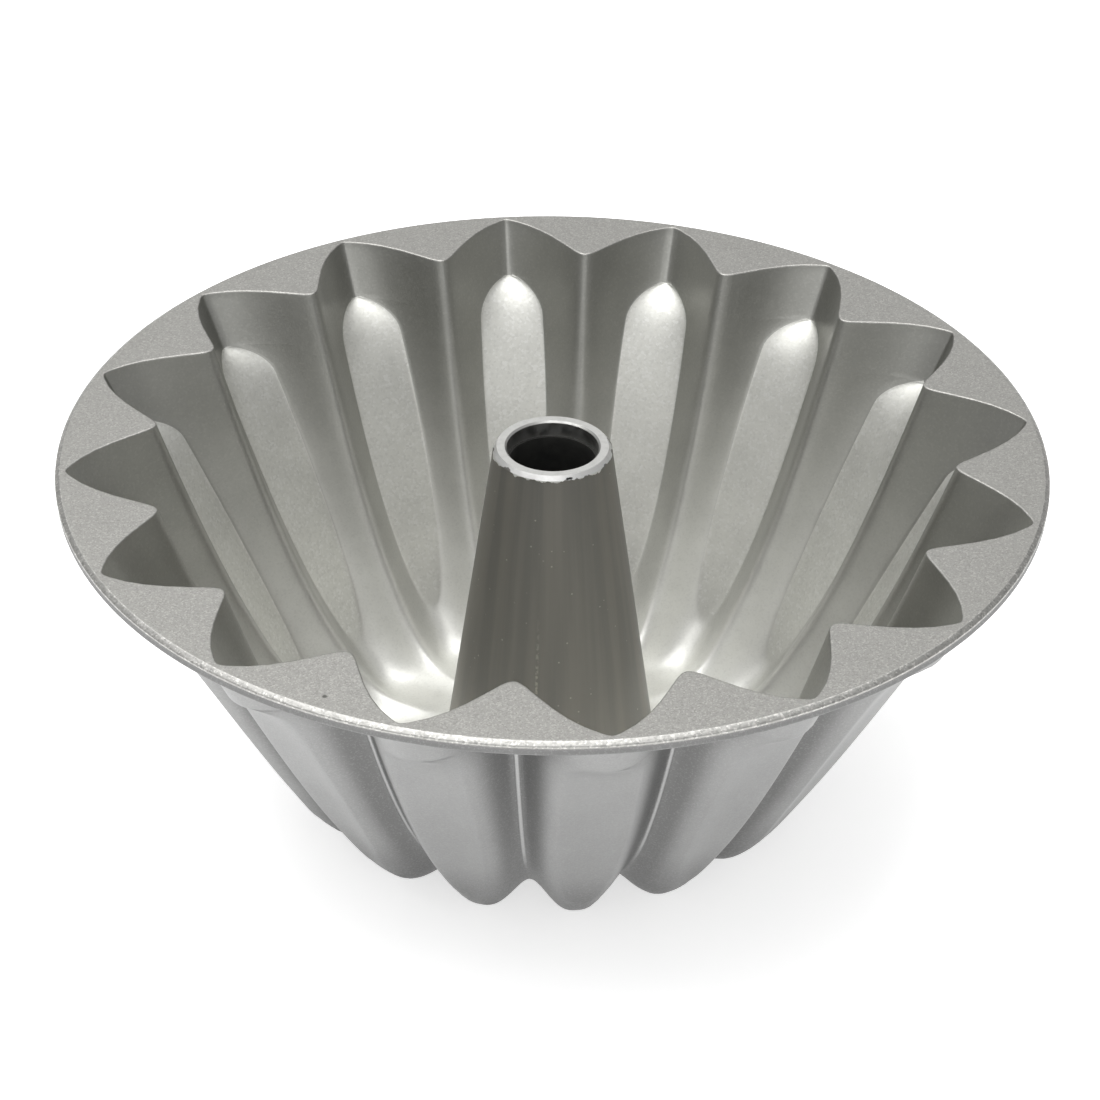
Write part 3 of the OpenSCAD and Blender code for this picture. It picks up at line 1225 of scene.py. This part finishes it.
@dataclass
class TopRing:
    """The turned ring let into the tube's top: flat face, bevelled bore, worn chamfer.

    Lengths are in millimetres.
    """

    rim_h: float
    bore_r: float = 12.5
    outer_r: float = 16.2
    spigot_r: float = 14.2
    depth: float = 4.6
    shoulder_drop: float = 1.5
    chamfer: tuple[float, float] = (1.0, 1.2)
    bevel: float = 0.5

    def outline(self) -> list[tuple[float, float]]:
        """The ring's section."""
        top = self.rim_h
        ledge_h = top - self.depth
        shoulder_h = top - self.shoulder_drop
        face_r = self.outer_r - self.chamfer[0]
        return [
            (self.bore_r, ledge_h),
            (self.spigot_r, ledge_h),
            (self.spigot_r, shoulder_h),
            (self.outer_r, shoulder_h),
            (self.outer_r, top - self.chamfer[1]),
            *between((self.outer_r, top - self.chamfer[1]), (face_r, top), 6)[1:],
            *between((face_r, top), (self.bore_r + self.bevel, top), 5),
            (self.bore_r + self.bevel, top),
            (self.bore_r, top - self.bevel),
            *between((self.bore_r, top - self.bevel), (self.bore_r, ledge_h), 4)[1:],
        ]

    def build(self) -> bpy.types.Object:
        """Makes the closed mesh, its chamfer and sides in the lighter, painted-highlight metal,
        with a second material from its flat face inwards.
        """
        outline = self.outline()
        face = outline.index((self.outer_r - self.chamfer[0], self.rim_h))
        return Turning("top_ring", outline, face).build()


# ---- studio ----


@dataclass(frozen=True)
class Softbox:
    """A flat lamp that faces the pan, in metres and watts."""

    name: str
    place: tuple[float, float, float]
    size: tuple[float, float]
    watts: float

    def hang(self) -> None:
        """Puts the lamp in the scene."""
        data = bpy.data.lights.new(self.name, "AREA")
        data.shape = "RECTANGLE"
        data.size, data.size_y = self.size
        data.energy = self.watts
        lamp = bpy.data.objects.new(self.name, data)
        lamp.location = self.place
        aim = Vector((0, 0, 0.05)) - Vector(self.place)
        lamp.rotation_euler = aim.to_track_quat("-Z", "Y").to_euler()
        bpy.context.scene.collection.objects.link(lamp)


@dataclass
class Studio:
    """A pale floor, soft light and a camera above the pan's front.

    Lengths are in metres, angles in degrees.
    """

    rim_h: float
    elevation: float = 33.71
    roll: float = 0.517
    distance: float = 0.8729
    aside: float = 0.00048
    above: float = 0.02819
    lens: float = 105.88
    sky: float = 0.36
    boxes: tuple[Softbox, ...] = (
        Softbox("overhead", (-0.3, 0.1, 2.0), (2.2, 2.2), 44),
        Softbox("front", (0.0, -2.4, 1.3), (3.4, 1.6), 14),
        Softbox("left", (-2.4, -0.6, 1.2), (2.4, 1.6), 1.5),
        Softbox("right", (2.4, -0.6, 1.2), (2.4, 1.6), 0.5),
        Softbox("back", (0.0, 2.4, 1.7), (2.6, 1.4), 7.5),
    )

    def camera(self) -> bpy.types.Object:
        """Makes the camera and hands it to the scene."""
        data = bpy.data.cameras.new("camera")
        data.lens = self.lens
        data.sensor_width = 36
        data.clip_end = 20
        camera = bpy.data.objects.new("camera", data)
        bpy.context.scene.collection.objects.link(camera)
        turn = Euler((math.radians(90 - self.elevation), 0, 0)).to_matrix()
        offset = Vector((-self.aside, -self.above, self.distance))
        camera.location = Vector((0, 0, self.rim_h)) + turn @ offset
        spin = Euler((0, 0, math.radians(self.roll))).to_matrix()
        camera.rotation_euler = (turn @ spin).to_euler()
        bpy.context.scene.camera = camera
        return camera

    def floor(self) -> bpy.types.Object:
        """Makes the floor, a wide sheet that the pan stands on."""
        size = 6.0
        mesh = bpy.data.meshes.new("floor")
        corners = [(-size, -size, 0), (size, -size, 0), (size, size, 0), (-size, size, 0)]
        mesh.from_pydata(corners, [], [(0, 1, 2, 3)])
        floor = bpy.data.objects.new("floor", mesh)
        bpy.context.scene.collection.objects.link(floor)
        floor.data.materials.append(PaleFloor().build())
        floor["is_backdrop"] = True
        return floor

    def room(self) -> None:
        """Fills the room with even white light."""
        world = bpy.data.worlds.new("room")
        world.use_nodes = True
        back = world.node_tree.nodes["Background"]
        back.inputs["Color"].default_value = (1, 1, 1, 1)
        back.inputs["Strength"].default_value = self.sky
        bpy.context.scene.world = world

    def build(self) -> None:
        """Sets up floor, lamps, room and camera."""
        self.camera()
        self.floor()
        for box in self.boxes:
            box.hang()
        self.room()
        bpy.context.scene.view_settings.view_transform = "Standard"


def main() -> None:
    """Builds the pan, dresses it, and sets up the studio."""
    logging.basicConfig(level=logging.INFO, format="%(name)s %(message)s", stream=sys.stdout)
    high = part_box("fluted_shell")[1]
    rule = FluteRule(rim_r=high[0] / MM, rim_h=high[2] / MM)
    finishes = Finishes()
    Studio(rim_h=high[2]).build()
    zones = (finishes.lining, finishes.flange, finishes.outside, finishes.leaf, finishes.bead)
    coats = [finish.build() for finish in zones]
    attach(FlutedShell(rule).build(), "fluted_shell", Slot.CASTING, coats)
    coats = [finishes.tube.build(), finishes.inside.build()]
    attach(CentreTube(rule.rim_h).build(), "centre_tube", Slot.TUBE, coats)
    coats = [finishes.lit_ring_edge.build(), finishes.ring.build()]
    attach(TopRing(rule.rim_h).build(), "tube_top_ring", Slot.RING, coats)
    [[list(corner) for corner in box] for box in (CAD_BOX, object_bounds())]


if __name__ == "__main__":
    main()
